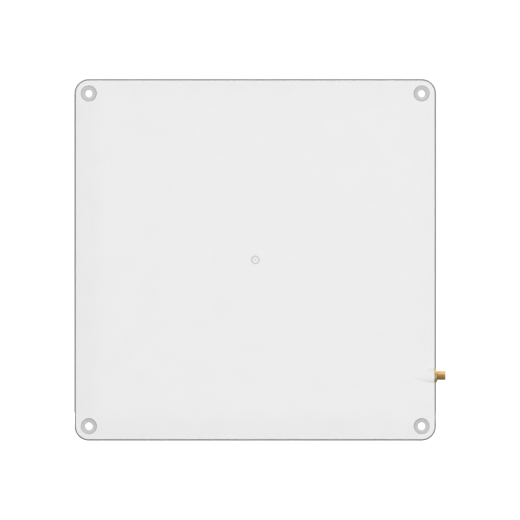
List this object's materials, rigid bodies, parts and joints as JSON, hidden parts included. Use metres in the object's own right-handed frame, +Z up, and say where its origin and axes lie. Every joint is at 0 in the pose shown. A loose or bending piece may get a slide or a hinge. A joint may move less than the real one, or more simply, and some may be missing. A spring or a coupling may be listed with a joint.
{
  "type": "security gate antenna panel",
  "caption": "Flat square radio antenna panel for a retail security gate: screw-down plastic cover on an aluminium plate, with a threaded coaxial jack on one edge.",
  "frame": {"origin": "centre of the four mounting holes on the back face of the panel", "axes": "+Y into the wall or post behind the panel, so the front faces -Y; +Z up; +X to the right seen from the front, the way the coaxial jack points"},
  "size_m": [0.2565, 0.012, 0.25],
  "materials": {
    "cover_plastic": "fine-textured off-white moulded plastic",
    "plate_aluminium": "brushed and clear anodised",
    "patch_aluminium": "mill finish",
    "gasket_foam": "closed-cell foam",
    "screw_steel": "stainless steel",
    "bushing_steel": "satin",
    "gold_plate": "gold plated",
    "ptfe": "waxy white",
    "nylon": "natural nylon",
    "seal_rubber": "black silicone",
    "board_laminate": "glass-epoxy laminate",
    "track_copper": "bare copper",
    "resistor_body": "glazed ceramic",
    "cable_jacket": "brown fluoropolymer jacket",
    "solder": "tinned",
    "adhesive_foam": "double-sided foam tape"
  },
  "bodies": {
    "root": {"front_cover": "cover_plastic", "back_plate": "plate_aluminium", "perimeter_gasket": "gasket_foam", "cover_screws": "screw_steel", "mount_bushings": "bushing_steel", "radiating_patch": "patch_aluminium", "patch_standoffs": "nylon", "standoff_back_screws": "screw_steel", "standoff_front_screws": "nylon", "earthing_post": "patch_aluminium", "post_back_screw": "screw_steel", "post_front_screw": "screw_steel", "feed_board": "board_laminate", "feed_tracks": "track_copper", "divider_resistor": "resistor_body", "feed_probes": "gold_plate", "board_screws": "screw_steel", "jack_body": "gold_plate", "jack_insulator": "ptfe", "jack_contact": "gold_plate", "jack_nut": "gold_plate", "jack_lock_washer": "gold_plate", "jack_seal": "seal_rubber", "crimp_ferrule": "gold_plate", "coax_cable": "cable_jacket", "coax_insulation_end": "ptfe", "coax_wire_end": "solder", "cable_clips": "nylon", "clip_pads": "adhesive_foam", "solder_joints": "solder"}
  },
  "joints": []
}
